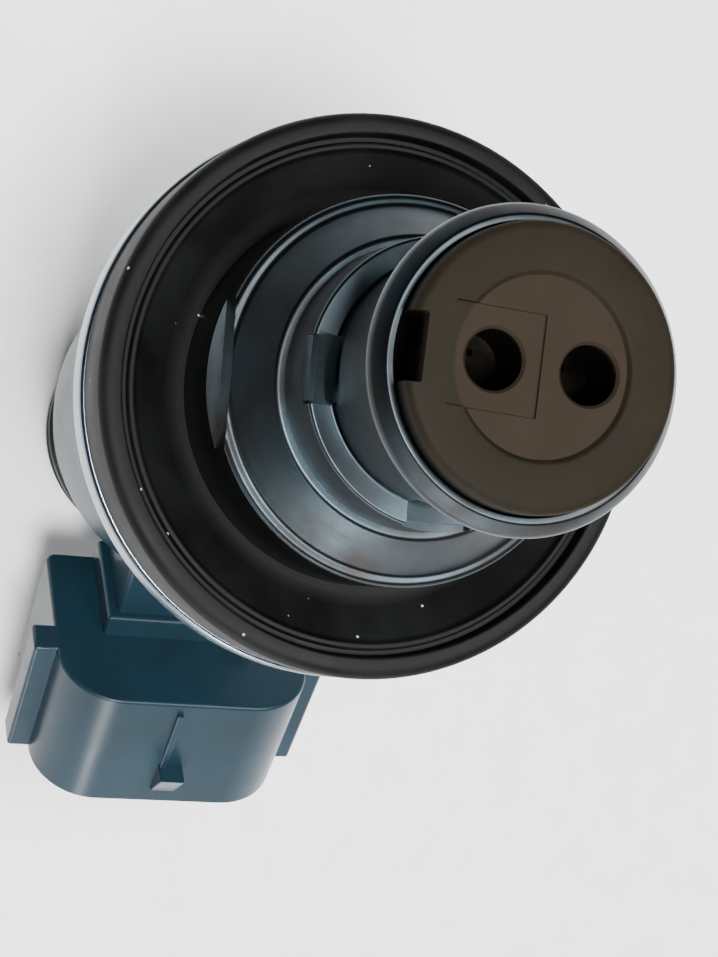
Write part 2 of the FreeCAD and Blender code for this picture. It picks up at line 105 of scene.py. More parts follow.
class InjectorTipSizes(bpy.types.PropertyGroup):
    neck_r: size("Neck radius", "Radius of the neck above the collar", 6.5)
    neck_length: size("Neck length", "Neck between the collar and the flat shoulder", 3.2)
    groove_r: size("Groove radius", "Radius of the long groove under the rim", 5.45)
    rim_length: size("Rim length", "Length of the flared rim", 1.1)
    rim_front_r: size("Rim front radius", "Radius of the rim's front edge", 6.2)
    rim_slope: size("Rim slope", "Length over which the rim closes in on the cap", 0.65)
    rim_round: size("Rim round", "Round of the rim's corners", 0.2)
    lip_gap: size("Lip gap", "Gap between the rim and the cap", 0.05)
    lip_depth: size("Lip depth", "Depth of the cup that holds the cap", 0.65)
    pocket_w: size("Pocket width", "Width of each pocket in the shoulder", 3.0)
    pocket_floor: size("Pocket floor", "Distance of the pocket's floor from the axis", 5.1)
    pocket_edge: size("Pocket edge", "Distance of the edge notch's floor from the axis", 6.1)
    pocket_below: size("Pocket below", "Notch length below the shoulder", 0.8)
    pocket_above: size("Pocket above", "Pocket length above the shoulder", 1.2)


class InjectorCollarSizes(bpy.types.PropertyGroup):
    cone_r: size("Cone radius", "Radius at the small end of the cone", 6.87)
    cone_length: size("Cone length", "Length of the cone above the collar's land", 2.0)
    land_w: size("Land width", "Flat land between the collar's edge and the cone", 0.57)
    flat_at: size("Flat distance", "Distance of each flat from the axis", 8.4)
    flat_ledge: size("Flat ledge", "Ledge of each flat below the collar's end", 3.6)
    land_round: size("Land round", "Round of the land's outer edge", 0.3)
    edge_round: size("Edge round", "Round of the turned corners", 0.16)


class InjectorRingSizes(bpy.types.PropertyGroup):
    edge_round: size("Edge round", "Round of the outer front edge", 0.55)
    land_r: size("Land radius", "Inner edge of the sealing land", 12.45)
    groove_depth: size("Groove depth", "Depth of the groove inside the land", 0.7)
    rib_r: size("Rib radius", "Outer radius of the thin rib", 12.05)
    rib_w: size("Rib width", "Width of the thin rib", 0.25)
    rib_drop: size("Rib drop", "Rib crest below the sealing land", 0.45)
    dish_depth: size("Dish depth", "Depth of the dished face at the collar", 1.9)
    dish_step: size("Dish step", "Level step next to the collar", 0.7)
    backing_round: size("Backing round", "Round of the backing ring's back edge", 0.85)
    backing_lip: size("Backing lip", "Round of the backing ring's front edge", 0.25)


class InjectorShellSizes(bpy.types.PropertyGroup):
    shell_length: size("Shell length", "Length of the connector shell", 9.0)
    half_w: size("Half width", "Half width of the shell without its wings", 7.8)
    half_h: size("Half height", "Half height of the shell", 6.0)
    nozzle_round: size("Nozzle side round", "Corner radius on the nozzle side", 3.85)
    inlet_round: size("Inlet side round", "Corner radius on the inlet side", 0.6)
    edge_round: size("Edge round", "Round of the moulded edges", 0.22)
    wall: size("Wall", "Thickness of the shell's wall", 1.3)
    socket_depth: size("Socket depth", "Depth of the socket", 8.0)
    wing_out: size("Wing reach", "Reach of each side wing", 1.35)
    wing_low: size("Wing low side", "Inlet side of the wings from the middle", 0.1)
    wing_high: size("Wing high side", "Nozzle side of the wings from the middle", 2.1)
    lug_w: size("Lug width", "Width of the lock lug", 1.5)
    lug_h: size("Lug height", "Height of the lock lug's catch face", 1.4)
    lug_low: size("Lug low end", "Height of the lock lug at the mouth side", 0.2)
    lug_back: size("Lug back", "Back of the lock lug from the mouth", 3.5)
    lug_front: size("Lug front", "Front of the lock lug from the mouth", 1.2)
    rib_at: bpy.props.FloatProperty(name="Rib offset", description="Rib's offset from the middle",
                                    default=-0.5 * MM, unit="LENGTH", subtype="DISTANCE")
    rib_w: size("Rib width", "Width of the guide rib", 0.4)
    rib_h: size("Rib height", "Height of the guide rib", 0.3)
    stem_half_w: size("Stem half width", "Half width of the stem", 4.25)
    stem_top: size("Stem top", "Nozzle side of the stem from the middle", 0.2)
    stem_step: size("Stem step", "Length of the thicker root behind the shell", 1.5)


class InjectorJacketSizes(bpy.types.PropertyGroup):
    jacket_r: size("Jacket radius", "Radius of the plastic jacket", 9.8)
    neck_r: size("Neck radius", "Radius of the jacket's inlet neck", 7.5)
    step_length: size("Step length", "Slope between neck and jacket", 1.6)
    skirt_r: size("Skirt radius", "Radius of the can inside the jacket", 9.0)
    can_bore: size("Can bore", "Bore radius of the can", 8.3)
    crimp_bore: size("Crimp bore", "Bore radius of the can's crimped end", 7.8)
    spigot_r: size("Spigot radius", "Radius of the inlet spigot", 5.2)
    core_r: size("Core radius", "Radius of the magnetic core", 4.0)
    core_step: size("Core step", "Height at which the spigot meets the core", 13.7)


class InjectorColours(bpy.types.PropertyGroup):
    steel: colour("Turned steel", "Colour of the collar and tip", "#343e43")
    steel_stain: colour("Steel stain", "Darker oiled patches on the steel", "#2a2523")
    zinc: colour("Zinc plate", "Colour of the plated can", "#666d72")
    zinc_dull: colour("Dull zinc", "Duller patches of the plating", "#596064")
    backing: colour("Backing plate", "Colour of the bright backing ring", "#68727c")
    rubber: colour("Rubber", "Colour of the moulded rubber", "#060606")
    rubber_worn: colour("Worn rubber", "Greyed rubber on rubbed edges", "#0e0f0f")
    # The grommet's grey-green is partly its rubber's tone and partly painted light: it is the colour of
    # the grommet's lit side.
    grommet: colour("Grommet rubber", "Grey-green rubber of the inlet grommet", "#2b332f")
    brown: colour("Cap plastic", "Colour of the spray cap", "#14110a")
    brown_pale: colour("Cap highlights", "Paler flow marks on the spray cap", "#1a160f")
    # Painted sheen: the dished face is coloured paler, standing in for its glossier reflection.
    brown_dish_sheen: colour("Dish", "Paler skin of the dished face", "#1f1911")
    shell: colour("Connector plastic", "Colour of the jacket and connector", "#132731")
    shell_dark: colour("Connector shade", "Darker flow marks in the plastic", "#0f2028")
    floor: colour("Floor", "Colour of the pale floor", "#eeeeee")


SETTINGS = {
    "injector_cap": InjectorCapSizes,
    "injector_tip": InjectorTipSizes,
    "injector_collar": InjectorCollarSizes,
    "injector_ring": InjectorRingSizes,
    "injector_shell": InjectorShellSizes,
    "injector_jacket": InjectorJacketSizes,
    "injector_colours": InjectorColours,
}


# ------------------------------------------------------------------ mesh helpers
def low(node):
    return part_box(node)[0]


def high(node):
    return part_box(node)[1]


def piece_from(bm, name):
    mesh = bpy.data.meshes.new(name)
    bm.to_mesh(mesh)
    bm.free()
    piece = bpy.data.objects.new(name, mesh)
    bpy.context.scene.collection.objects.link(piece)
    return piece


def bevel(bm, edges, width, segments=4):
    if edges:
        bmesh.ops.bevel(bm, geom=edges, offset=width, offset_type="OFFSET", affect="EDGES",
                        segments=segments, profile=0.5, material=-1, clamp_overlap=True)


def ring_edges(bm, radius, height):
    """Edges that run round the axis at one radius and height."""
    tolerance = 0.002 * MM

    def on_ring(vert):
        across = abs(math.hypot(vert.co.x, vert.co.y) - radius)
        return across < tolerance and abs(vert.co.z - height) < tolerance

    return [edge for edge in bm.edges if all(on_ring(vert) for vert in edge.verts)]


def turned(name, outline, rounds=(), closed=True, steps=STEPS, segments=4):
    """Spins (radius, height) corners about the axis; rounds holds (radius, height, round)."""
    bm = bmesh.new()
    verts = [bm.verts.new((r, 0.0, z)) for r, z in outline]
    ends = verts[1:] + verts[:1] if closed else verts[1:]
    edges = [bm.edges.new(pair) for pair in zip(verts, ends)]
    bmesh.ops.spin(bm, geom=verts + edges, cent=(0, 0, 0), axis=AXIS, dvec=(0, 0, 0),
                   angle=math.tau, steps=steps, use_merge=True)
    bmesh.ops.remove_doubles(bm, verts=bm.verts, dist=0.0001 * MM)
    bmesh.ops.recalc_face_normals(bm, faces=bm.faces)
    for radius, height, width in rounds:
        bevel(bm, ring_edges(bm, radius, height), width, segments)
    return piece_from(bm, name)


def box_mesh(corner_a, corner_b):
    bm = bmesh.new()
    a, b = Vector(corner_a), Vector(corner_b)
    extent = Vector(abs(side) for side in b - a)
    bmesh.ops.create_cube(bm, size=1.0, matrix=Matrix.LocRotScale((a + b) / 2, None, extent))
    return bm


def box_piece(name, corner_a, corner_b, edge_round=0.0, place=None):
    bm = box_mesh(corner_a, corner_b)
    if edge_round:
        bevel(bm, list(bm.edges), edge_round, 3)
    if place:
        bmesh.ops.transform(bm, matrix=place, verts=bm.verts)
    return piece_from(bm, name)


def rod_cutter(radius, z0, z1, flare=0.0, flare_z=None, steps=48):
    """Round cutter about the axis, opened out above flare_z."""
    outline = [(0.0, z0), (radius, z0)]
    if flare:
        outline += [(radius, flare_z - flare), (radius + flare, flare_z)]
    outline += [(radius + flare, z1), (0.0, z1)]
    return turned("cutter", outline, closed=False, steps=steps)


def settle(piece):
    """Turns a piece's modifiers into its mesh."""
    depsgraph = bpy.context.evaluated_depsgraph_get()
    mesh = bpy.data.meshes.new_from_object(piece.evaluated_get(depsgraph))
    old = piece.data
    piece.modifiers.clear()
    piece.data = mesh
    bpy.data.meshes.remove(old)
    mesh.name = piece.name


def combine(piece, others, operation):
    """Cuts the other shapes from a piece, or joins them to it."""
    for other in others:
        step = piece.modifiers.new(operation.lower(), "BOOLEAN")
        step.object = other
        step.operation = operation
        step.solver = "EXACT"
    settle(piece)
    for other in others:
        bpy.data.objects.remove(other)


def moved(piece, matrix):
    piece.data.transform(matrix)
    return piece


def finish(piece, material, replaces=(), smooth_angle=35.0):
    """Smooths a piece, gives it its material and makes it ride on the injector's body."""
    piece.data.shade_smooth()
    piece.data.set_sharp_from_angle(angle=math.radians(smooth_angle))
    level = piece.modifiers.new("level faces", "WEIGHTED_NORMAL")
    level.keep_sharp = True
    settle(piece)
    mesh = piece.data
    mesh.materials.clear()
    mesh.materials.append(material)
    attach(piece, BODY)
    if replaces:
        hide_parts(*replaces)
    return piece


# ------------------------------------------------------------------ material helpers
def add(tree, kind, settings=None, links=None):
    """Adds a node, sets its fields and sockets, and links its inputs."""
    node = tree.nodes.new(kind)
    for key, value in (settings or {}).items():
        if isinstance(key, str) and hasattr(node, key):
            setattr(node, key, value)
        else:
            node.inputs[key].default_value = value
    for key, source in (links or {}).items():
        tree.links.new(source, node.inputs[key])
    return node


def per(millimetres):
    """Texture scale whose pattern repeats about every so many millimetres."""
    return 1.0 / (millimetres * MM)


def rgba(value):
    return (value[0], value[1], value[2], 1.0)


def start(name, **shader):
    """New material: its tree, its shader with constant sockets set, and object coordinates."""
    material = bpy.data.materials.new(name)
    material.use_nodes = True
    tree = material.node_tree
    tree.nodes.clear()
    surface = add(tree, "ShaderNodeBsdfPrincipled")
    for key, value in shader.items():
        surface.inputs[key.replace("_", " ")].default_value = value
    add(tree, "ShaderNodeOutputMaterial", links={"Surface": surface.outputs[0]})
    place = add(tree, "ShaderNodeTexCoord").outputs["Object"]
    return material, tree, surface, place


def lathe_place(tree, place):
    """Coordinates (radius, height): a pattern on them runs in rings round the axis."""
    part = add(tree, "ShaderNodeSeparateXYZ", links={0: place})
    flat = add(tree, "ShaderNodeCombineXYZ", links={"X": part.outputs["X"], "Y": part.outputs["Y"]})
    radius = add(tree, "ShaderNodeVectorMath", {"operation": "LENGTH"}, {0: flat.outputs[0]})
    return add(tree, "ShaderNodeCombineXYZ",
               links={"X": radius.outputs["Value"], "Y": part.outputs["Z"]}).outputs[0]


def noise(tree, place, millimetres, detail=3.0, rough=0.55):
    node = add(tree, "ShaderNodeTexNoise",
               {"Scale": per(millimetres), "Detail": detail, "Roughness": rough}, {"Vector": place})
    return node.outputs["Fac"]


def ramp(tree, value, low_at, high_at, low_to=0.0, high_to=1.0):
    node = add(tree, "ShaderNodeMapRange",
               {"From Min": low_at, "From Max": high_at, "To Min": low_to, "To Max": high_to},
               {"Value": value})
    return node.outputs["Result"]


def blend_colours(tree, factor, first, second):
    node = add(tree, "ShaderNodeMix", {"data_type": "RGBA"})
    tree.links.new(factor, node.inputs[0])
    for socket, value in ((node.inputs[6], first), (node.inputs[7], second)):
        if isinstance(value, bpy.types.NodeSocket):
            tree.links.new(value, socket)
        else:
            socket.default_value = rgba(value)
    return node.outputs[2]


def bump(tree, surface, height, distance_mm, strength=1.0, below=None):
    links = {"Height": height}
    if below is not None:
        links["Normal"] = below
    node = add(tree, "ShaderNodeBump", {"Distance": distance_mm * MM, "Strength": strength}, links)
    tree.links.new(node.outputs[0], surface.inputs["Normal"])
    return node.outputs[0]


def metal(name, clean, stained, line_mm, stain_mm, roughness, line_depth_mm, cup=None):
    """Lathe-turned metal: rings of fine tool marks, which draw highlights out along the radius.

    A cup (radius, height) gets painted shade: nearly black inside that radius and above that height.
    """
    material, tree, surface, place = start(name, Metallic=1.0, Anisotropic=0.8)
    around = add(tree, "ShaderNodeVectorMath", {"operation": "CROSS_PRODUCT", 0: AXIS}, {1: place})
    along = add(tree, "ShaderNodeVectorMath", {"operation": "NORMALIZE"}, {0: around.outputs[0]})
    tree.links.new(along.outputs[0], surface.inputs["Tangent"])
    rings = noise(tree, lathe_place(tree, place), line_mm, 4.0, 0.7)
    patches = noise(tree, place, stain_mm, 4.0, 0.6)
    stain = ramp(tree, patches, 0.35, 0.75)
    shade = blend_colours(tree, stain, clean, stained)
    # Painted shade: the recess inside the cup is coloured nearly black, where shade falls.
    if cup:
        radius = add(tree, "ShaderNodeSeparateXYZ", links={0: lathe_place(tree, place)}).outputs["X"]
        height = add(tree, "ShaderNodeSeparateXYZ", links={0: place}).outputs["Z"]
        painted_shade = add(tree, "ShaderNodeMath", {"operation": "MULTIPLY"},
                   {0: ramp(tree, radius, cup[0], cup[0] + 0.05 * MM, 1.0, 0.0),
                    1: ramp(tree, height, cup[1] - 0.1 * MM, cup[1])})
        shade = blend_colours(tree, painted_shade.outputs[0], shade, linear("#060504"))
    tree.links.new(shade, surface.inputs["Base Color"])
    mixed = add(tree, "ShaderNodeMath", {"operation": "ADD"},
                {0: ramp(tree, rings, 0.2, 0.8, roughness - 0.06, roughness + 0.06),
                 1: ramp(tree, patches, 0.3, 0.7, 0.0, 0.10)})
    tree.links.new(mixed.outputs[0], surface.inputs["Roughness"])
    bump(tree, surface, rings, line_depth_mm, 0.5)
    return material


# ------------------------------------------------------------------ materials
def turned_steel():
    """Bare free-cutting steel, turned and oiled: grey, with fine rings and darker patches, and painted
    shade, nearly black, inside the rim's cup round the spray cap.
    """
    tint = bpy.context.scene.injector_colours
    tip = bpy.context.scene.injector_tip
    cup = (high("two_hole_cap").x + tip.lip_gap, high("tip_sleeve").z - tip.lip_depth)
    return metal("turned_steel", tint.steel, tint.steel_stain, 0.12, 5.0, 0.38, 0.004, cup)


def zinc_plate():
    """Steel can with zinc plating: paler, softer and slightly cloudy."""
    tint = bpy.context.scene.injector_colours
    return metal("zinc_plate", tint.zinc, tint.zinc_dull, 0.25, 3.0, 0.34, 0.003)


def bright_zinc():
    """Bright zinc-plated ring: nearly white, with a blue cast and a smooth skin."""
    tint = bpy.context.scene.injector_colours
    return metal("bright_zinc", tint.backing, tint.zinc, 0.3, 6.0, 0.22, 0.002)


def ground_stainless(name="ground_stainless", cup=None):
    """Ground stainless steel of the needle and valve parts: pale, with very fine marks."""
    return metal(name, linear("#b4b4b0"), linear("#8c8c88"), 0.08, 4.0, 0.22, 0.002, cup)


def valve_stainless():
    """The same steel, with painted shade, nearly black, over its top 0.4 mm: the outlet chamber under
    the metering holes.
    """
    top = high("valve_body")
    return ground_stainless("valve_stainless", (top.x, top.z - 0.4 * MM))


def sooted_steel():
    """Steel plate painted dull, brownish and nearly black: painted shade deep in the spray holes."""
    return metal("sooted_steel", linear("#16130f"), linear("#0b0a09"), 0.3, 0.8, 0.6, 0.004)


def spring_wire():
    """Drawn spring steel wire: darker, with a satin skin."""
    return metal("spring_wire", linear("#8f8c86"), linear("#5c5a56"), 0.2, 2.0, 0.32, 0.002)


def turned_brass():
    """Turned brass collar of the filter."""
    return metal("turned_brass", linear("#c9a558"), linear("#94763a"), 0.15, 3.0, 0.28, 0.003)


def tin_plate():
    """Tin-plated copper alloy of the connector blades."""
    return metal("tin_plate", linear("#c6c4bb"), linear("#98968c"), 0.2, 2.0, 0.30, 0.002)


def enamelled_wire():
    """Copper winding: close turns of enamelled wire, drawn as ridges 0.35 mm apart to show."""
    material, tree, surface, place = start("enamelled_wire", Metallic=1.0, Roughness=0.3)
    wave = add(tree, "ShaderNodeTexWave", {"bands_direction": "Z", "Scale": per(0.35) / 20.0},
               {"Vector": place})
    shade = blend_colours(tree, wave.outputs["Fac"], linear("#7a3a1c"), linear("#c06a38"))
    tree.links.new(shade, surface.inputs["Base Color"])
    bump(tree, surface, wave.outputs["Fac"], 0.08)
    return material


def moulded_rubber(name="moulded_rubber", dust=True, tint_dark="rubber"):
    """Moulded nitrile rubber: near black, with a fine matt grain and specks of dust."""
    tint = bpy.context.scene.injector_colours
    material, tree, surface, place = start(name, Specular_IOR_Level=0.1)
    grain = noise(tree, place, 0.12, 3.0, 0.6)
    clouds = noise(tree, place, 4.0, 3.0, 0.5)
    base = getattr(tint, tint_dark)
    shade = blend_colours(tree, ramp(tree, clouds, 0.4, 0.75), base, tint.rubber_worn)
    if dust:
        specks = add(tree, "ShaderNodeTexVoronoi", {"Scale": per(1.6)}, {"Vector": place})
        near = ramp(tree, specks.outputs["Distance"], 0.035, 0.05, 1.0, 0.0)
        shade = blend_colours(tree, near, shade, linear("#8c9292"))
    tree.links.new(shade, surface.inputs["Base Color"])
    tree.links.new(ramp(tree, clouds, 0.3, 0.7, 0.50, 0.64), surface.inputs["Roughness"])
    bump(tree, surface, grain, 0.012, 0.6)
    return material


def cap_plastic():
    """Heat-proof moulded plastic of the spray cap: brown, matt, with faint flow marks; the dish is
    painted paler as a painted sheen, and everything just under the dish floor and lower gets painted
    shade, near black.
    """
    tint = bpy.context.scene.injector_colours
    material, tree, surface, place = start("cap_plastic", Specular_IOR_Level=0.06)
    flow = noise(tree, place, 2.5, 4.0, 0.6)
    grain = noise(tree, place, 0.15, 3.0, 0.6)
    shade = blend_colours(tree, ramp(tree, flow, 0.35, 0.7), tint.brown, tint.brown_pale)
    # Painted sheen: inside the dish's radius the colour is made paler, standing in for the dish's
    # reflection.
    radius = add(tree, "ShaderNodeSeparateXYZ", links={0: lathe_place(tree, place)}).outputs["X"]
    dish_r = bpy.context.scene.injector_cap.dish_r
    inside = ramp(tree, radius, dish_r * 0.96, dish_r * 0.99, 1.0, 0.0)
    shade = blend_colours(tree, inside, shade, tint.brown_dish_sheen)
    # Painted shade: everything lower than just under the dish floor goes nearly black, including the
    # hole walls, the notch and the sides inside the rim.
    height = add(tree, "ShaderNodeSeparateXYZ", links={0: place}).outputs["Z"]
    floor = high("two_hole_cap").z - bpy.context.scene.injector_cap.dish_depth
    painted_shade = ramp(tree, height, floor - 0.45 * MM, floor - 0.2 * MM, 1.0, 0.0)
    shade = blend_colours(tree, painted_shade, shade, linear("#060504"))
    tree.links.new(shade, surface.inputs["Base Color"])
    tree.links.new(ramp(tree, flow, 0.3, 0.7, 0.58, 0.68), surface.inputs["Roughness"])
    bump(tree, surface, grain, 0.010, 0.6)
    return material


def connector_nylon():
    """Glass-filled nylon: blue-grey, satin, with soft flow marks and faint sink waves."""
    tint = bpy.context.scene.injector_colours
    material, tree, surface, place = start("connector_nylon", Specular_IOR_Level=0.18)
    flow = noise(tree, place, 5.0, 4.0, 0.6)
    waves = noise(tree, place, 1.5, 2.0, 0.4)
    shade = blend_colours(tree, ramp(tree, flow, 0.35, 0.7), tint.shell, tint.shell_dark)
    tree.links.new(shade, surface.inputs["Base Color"])
    tree.links.new(ramp(tree, flow, 0.3, 0.7, 0.27, 0.36), surface.inputs["Roughness"])
    bump(tree, surface, waves, 0.012, 0.5)
    return material


def plain_nylon(name, hex_light, hex_dark):
    """Unpainted nylon of the inner mouldings."""
    material, tree, surface, place = start(name, Roughness=0.45)
    flow = noise(tree, place, 2.0, 3.0, 0.5)
    shade = blend_colours(tree, ramp(tree, flow, 0.35, 0.7), linear(hex_light), linear(hex_dark))
    tree.links.new(shade, surface.inputs["Base Color"])
    bump(tree, surface, noise(tree, place, 0.15), 0.008, 0.5)
    return material


def woven_mesh():
    """Woven stainless mesh, drawn 0.3 mm apart so that it shows."""
    material, tree, surface, place = start("woven_mesh", Metallic=1.0, Roughness=0.35)
    weave = add(tree, "ShaderNodeTexBrick", {"Scale": per(0.3), "Mortar Size": 0.12}, {"Vector": place})
    shade = blend_colours(tree, weave.outputs["Fac"], linear("#a8a8a2"), linear("#3c3c3a"))
    tree.links.new(shade, surface.inputs["Base Color"])
    bump(tree, surface, weave.outputs["Fac"], 0.05)
    return material


# ------------------------------------------------------------------ nozzle end
def build_cap():
    s = bpy.context.scene.injector_cap
    face = high("two_hole_cap").z
    plug = low("two_hole_cap").z
    cap_r = high("two_hole_cap").x
    seat = high("tip_sleeve").z - bpy.context.scene.injector_tip.lip_depth
    plug_r = high("orifice_plate").x
    floor = face - s.dish_depth
    outline = [(0.0, plug), (plug_r, plug), (plug_r, seat), (cap_r, seat), (cap_r, face),
               (s.dish_r, face), (s.dish_r - 0.15 * MM, floor), (0.0, floor)]
    rounds = [(cap_r, face, s.edge_round), (s.dish_r, face, 0.1 * MM), (cap_r, seat, 0.1 * MM)]
    cap = turned("two_hole_cap_moulding", outline, rounds, closed=False)
    above, below = face + MM, plug - MM
    cutters = []
    for side in (-1, 1):
        hole = rod_cutter(s.hole_r, below, above, s.hole_flare,
                          floor - (s.pad_depth if side < 0 else 0.0))
        cutters.append(moved(hole, Matrix.Translation((0, side * s.hole_at, 0))))
    cutters.append(box_piece("cutter", (-s.pad_h / 2, -s.hole_at - s.pad_w / 2, floor - s.pad_depth),
                             (s.pad_h / 2, -s.hole_at + s.pad_w / 2, above), 0.05 * MM))
    cutters.append(box_piece("cutter", (-s.notch_w / 2, -cap_r - MM, seat - MM),
                             (s.notch_w / 2, -cap_r + s.notch_depth, above), 0.12 * MM))
    for cutter in cutters:
        moved(cutter, Matrix.Rotation(s.line_turn, 4, "Z"))
    combine(cap, cutters, "DIFFERENCE")
    finish(cap, cap_plastic(), ["two_hole_cap"])


def build_tip():
    s = bpy.context.scene.injector_tip
    base, top = low("tip_sleeve").z, high("tip_sleeve").z
    rim_r = high("tip_sleeve").x
    bore = high("orifice_plate").x
    cup = high("two_hole_cap").x + s.lip_gap
    shoulder = high("nozzle_holder").z + s.neck_length
    rim_back = top - s.rim_length
    seat = top - s.lip_depth
    edge = s.rim_slope
    outline = [(bore, base), (s.neck_r, base), (s.neck_r, shoulder), (s.groove_r, shoulder),
               (s.groove_r, rim_back), (rim_r, rim_back), (rim_r, top - edge),
               (s.rim_front_r, top), (cup, top), (cup, seat), (bore, seat)]
    rounds = [(s.neck_r, shoulder, 0.16 * MM), (s.groove_r, shoulder, 0.1 * MM),
              (s.groove_r, rim_back, 0.12 * MM), (rim_r, rim_back, s.rim_round),
              (rim_r, top - edge, s.rim_round), (s.rim_front_r, top, 0.08 * MM),
              (cup, top, 0.05 * MM)]
    tip = turned("tip_sleeve_turned", outline, rounds)
    cutters = []
    for quarter in range(4):
        pocket = box_piece("cutter", (s.pocket_floor, -s.pocket_w / 2, shoulder),
                           (s.neck_r + MM, s.pocket_w / 2, shoulder + s.pocket_above))
        notch = box_piece("cutter", (s.pocket_edge, -s.pocket_w / 2, shoulder - s.pocket_below),
                          (s.neck_r + MM, s.pocket_w / 2, shoulder + s.pocket_below))
        for cutter in (pocket, notch):
            cutters.append(moved(cutter, Matrix.Rotation(quarter * math.pi / 2, 4, "Z")))
    combine(tip, cutters, "DIFFERENCE")
    finish(tip, turned_steel(), ["tip_sleeve"])


def build_collar():
    s = bpy.context.scene.injector_collar
    base, top = low("nozzle_holder").z, high("nozzle_holder").z
    collar_r = high("nozzle_holder").x
    back = low("insulator_backing").z
    neck_z = high("housing").z - 0.8 * MM
    flange_r = bpy.context.scene.injector_jacket.can_bore
    neck_r = bpy.context.scene.injector_jacket.crimp_bore
    sleeve_r = bpy.context.scene.injector_tip.neck_r
    sleeve_z = low("tip_sleeve").z
    bore = high("valve_body").x
    edge_z = top - s.cone_length
    outline = [(bore, base), (flange_r, base), (flange_r, neck_z), (neck_r, neck_z),
               (neck_r, back), (collar_r, back), (collar_r, edge_z),
               (collar_r - s.land_w, edge_z), (s.cone_r, top), (sleeve_r, top),
               (sleeve_r, sleeve_z), (bore, sleeve_z)]
    rounds = [(collar_r, edge_z, s.land_round), (s.cone_r, top, s.edge_round),
              (collar_r - s.land_w, edge_z, s.edge_round)]
    collar = turned("nozzle_holder_turned", outline, rounds)
    cutters = []
    for side in (-1, 1):
        cutters.append(box_piece("cutter", (-2 * collar_r, side * s.flat_at, top - s.flat_ledge),
                                 (2 * collar_r, side * 2 * collar_r, top + MM)))
    combine(collar, cutters, "DIFFERENCE")
    finish(collar, turned_steel(), ["nozzle_holder"])


def build_ring():
    s = bpy.context.scene.injector_ring
    back, front = low("insulator_ring").z, high("insulator_ring").z
    ring_r = high("insulator_ring").x
    bore = high("nozzle_holder").x
    groove = front - s.groove_depth
    crest = front - s.rib_drop
    dish = front - s.dish_depth
    rib_in = s.rib_r - s.rib_w
    outline = [(bore, back), (ring_r - 0.08 * MM, back), (ring_r, (front + back) / 2), (ring_r, front),
               (s.land_r, front), (s.land_r - 0.1 * MM, groove), (s.rib_r + 0.1 * MM, groove),
               (s.rib_r, crest), (rib_in, crest), (rib_in - 0.1 * MM, groove),
               (bore + s.dish_step, dish), (bore, dish)]
    rounds = [(ring_r, front, s.edge_round), (s.land_r, front, 0.12 * MM),
              (s.rib_r, crest, 0.08 * MM), (rib_in, crest, 0.08 * MM),
              (rib_in - 0.1 * MM, groove, 0.15 * MM), (bore + s.dish_step, dish, 0.4 * MM)]
    ring = turned("insulator_ring_moulding", outline, rounds)
    finish(ring, moulded_rubber(), ["insulator_ring"])


def build_backing():
    s = bpy.context.scene.injector_ring
    back, front = low("insulator_backing").z, high("insulator_backing").z
    outer, bore = high("insulator_backing").x, high("nozzle_holder").x
    outline = [(bore, back), (outer, back), (outer, front), (bore, front)]
    rounds = [(outer, back, s.backing_round), (outer, front, s.backing_lip)]
    ring = turned("insulator_backing_ring", outline, rounds)
    finish(ring, bright_zinc(), ["insulator_backing"])


def build_housing():
    s = bpy.context.scene.injector_jacket
    base, top = low("housing").z, high("housing").z
    outer = high("housing").x
    jacket_top = high("overmold").z
    crimp = top - 0.8 * MM
    outline = [(s.can_bore, base), (s.skirt_r, base), (s.skirt_r, jacket_top), (outer, jacket_top),
               (outer, top - 2.4 * MM), (outer - 0.18 * MM, top - 2.2 * MM),
               (outer - 0.18 * MM, top - 1.7 * MM), (outer, top - 1.5 * MM), (outer, top),
               (s.crimp_bore, top), (s.crimp_bore, crimp), (s.can_bore, crimp)]
    rounds = [(outer, top, 0.5 * MM), (outer, jacket_top, 0.1 * MM)]
    can = turned("housing_can", outline, rounds)
    finish(can, zinc_plate(), ["housing"])


# ------------------------------------------------------------------ inlet end
def build_seals():
    rubber = moulded_rubber("seal_rubber", dust=False)
    # Paler grommet rubber: partly painted light, taking the colour of a lit side.
    lit_grey_rubber = moulded_rubber("grommet_rubber", dust=False, tint_dark="grommet")
    low_z, high_z = low("inlet_grommet").z, high("inlet_grommet").z
    outer, bore = high("inlet_grommet").x, bpy.context.scene.injector_jacket.spigot_r
    waist = outer - 0.25 * MM
    middle = (low_z + high_z) / 2
    outline = [(bore, low_z), (outer, low_z), (outer, middle - 0.5 * MM), (waist, middle - 0.25 * MM),
               (waist, middle + 0.25 * MM), (outer, middle + 0.5 * MM), (outer, high_z), (bore, high_z)]
    rounds = [(outer, low_z, 0.5 * MM), (outer, high_z, 0.5 * MM)]
    grommet = turned("inlet_grommet_moulding", outline, rounds)
    finish(grommet, lit_grey_rubber, ["inlet_grommet"])
    wire = (high("inlet_o_ring").z - low("inlet_o_ring").z) / 2
    middle = (high("inlet_o_ring").z + low("inlet_o_ring").z) / 2
    ring_r = high("inlet_o_ring").x - wire
    points = 24
    outline = [(ring_r + wire * math.cos(math.tau * k / points),
                middle + wire * math.sin(math.tau * k / points)) for k in range(points)]
    finish(turned("inlet_o_ring_moulding", outline), rubber, ["inlet_o_ring"])


# ------------------------------------------------------------------ jacket and connector
def connector_place():
    """Local x is the width, y points to the nozzle side, z points out of the mouth."""
    mount = next(m for m in frame["record"]["mounts"] if m["name"] == "connector_mouth")
    out = Vector(mount["axis"]).normalized()
    side = Vector((0.0, 1.0, 0.0))
    turn = Matrix((side, out.cross(side), out)).transposed()
    return Matrix.Translation(mount["pos_m"]) @ turn.to_4x4()


